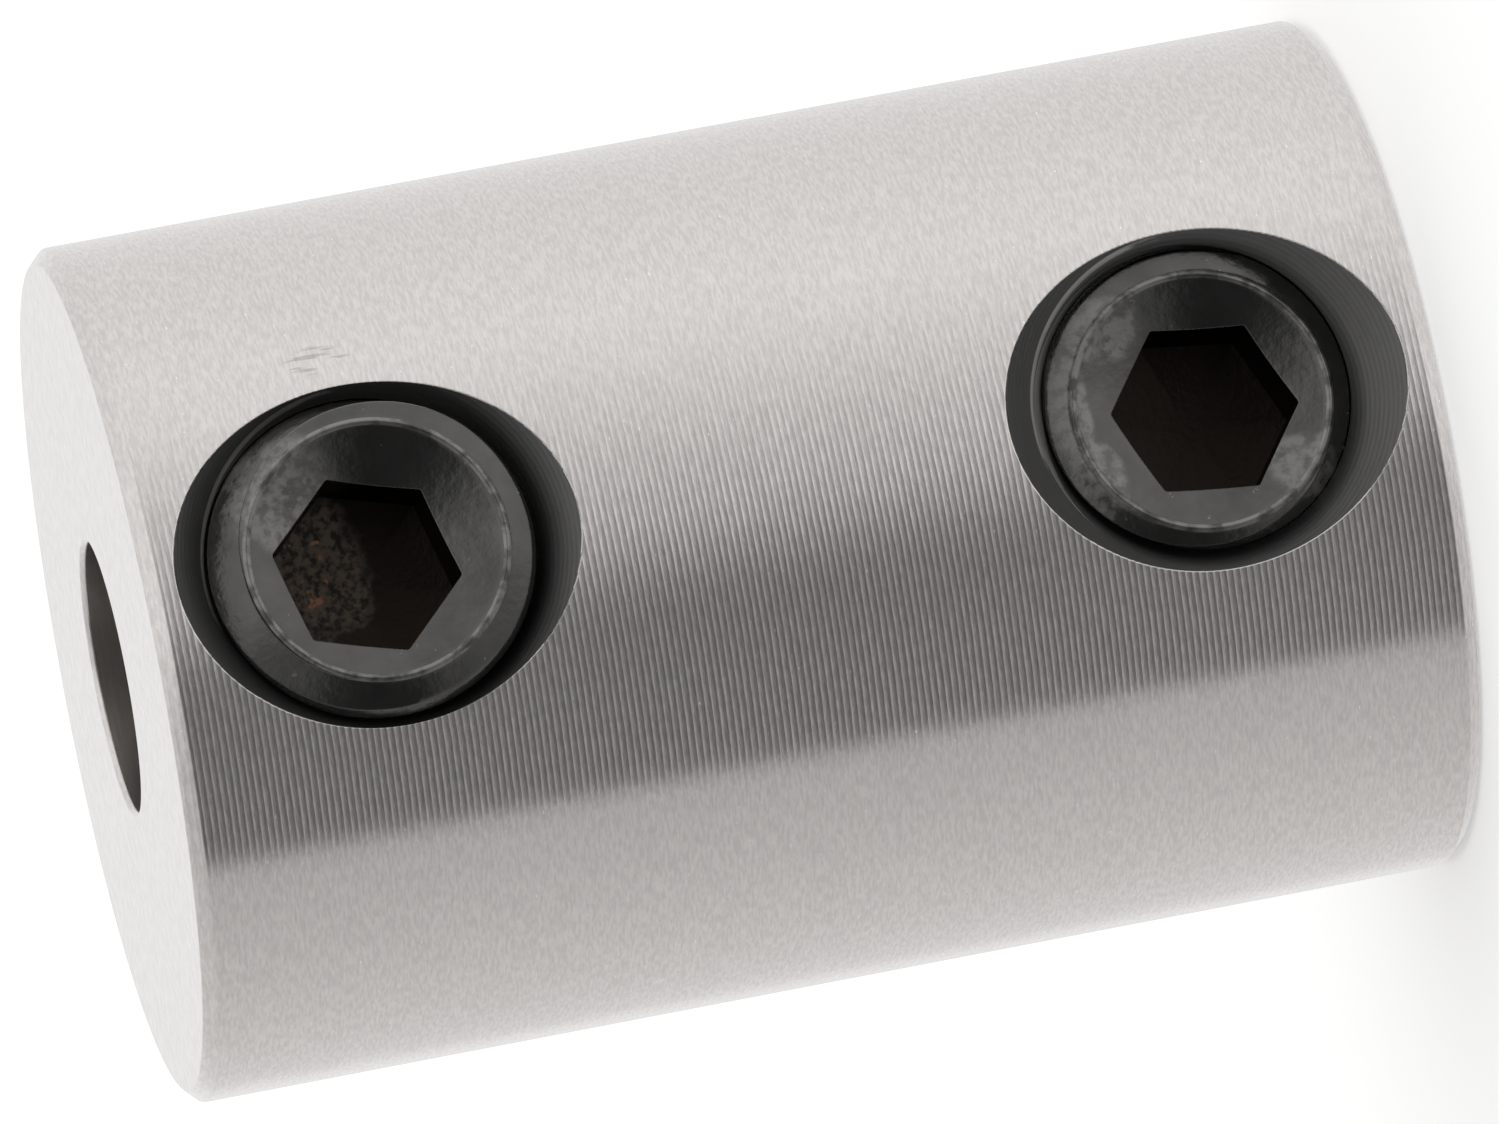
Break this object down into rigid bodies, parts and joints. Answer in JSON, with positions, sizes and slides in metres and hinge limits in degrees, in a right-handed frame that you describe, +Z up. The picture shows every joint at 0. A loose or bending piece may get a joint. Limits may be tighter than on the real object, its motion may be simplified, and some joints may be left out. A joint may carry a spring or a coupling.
{
  "type": "shaft coupling",
  "caption": "Rigid sleeve coupling that joins shafts end to end in a through bore, with hex-socket cup-point set screws in countersunk tapped holes.",
  "frame": {"origin": "centre of the lower end face, where the sleeve stands", "axes": "+Z up along the shaft bore; both set screws face -Y"},
  "size_m": [0.0126, 0.0126, 0.0191],
  "materials": {
    "sleeve_steel": "fine turned stainless steel",
    "screw_steel": "black oxide alloy steel"
  },
  "bodies": {
    "sleeve_body": {"sleeve": "sleeve_steel"},
    "lower_screw_body": {"set_screw_lower": "screw_steel"},
    "upper_screw_body": {"set_screw_upper": "screw_steel"}
  },
  "joints": [
    {"name": "lower_screw_travel", "type": "slide", "parent": "sleeve_body", "child": "lower_screw_body", "axis": [0, -1, 0], "range_m": [-0.00159, 0.00159]},
    {"name": "upper_screw_travel", "type": "slide", "parent": "sleeve_body", "child": "upper_screw_body", "axis": [0, -1, 0], "range_m": [-0.00159, 0.00159]}
  ]
}
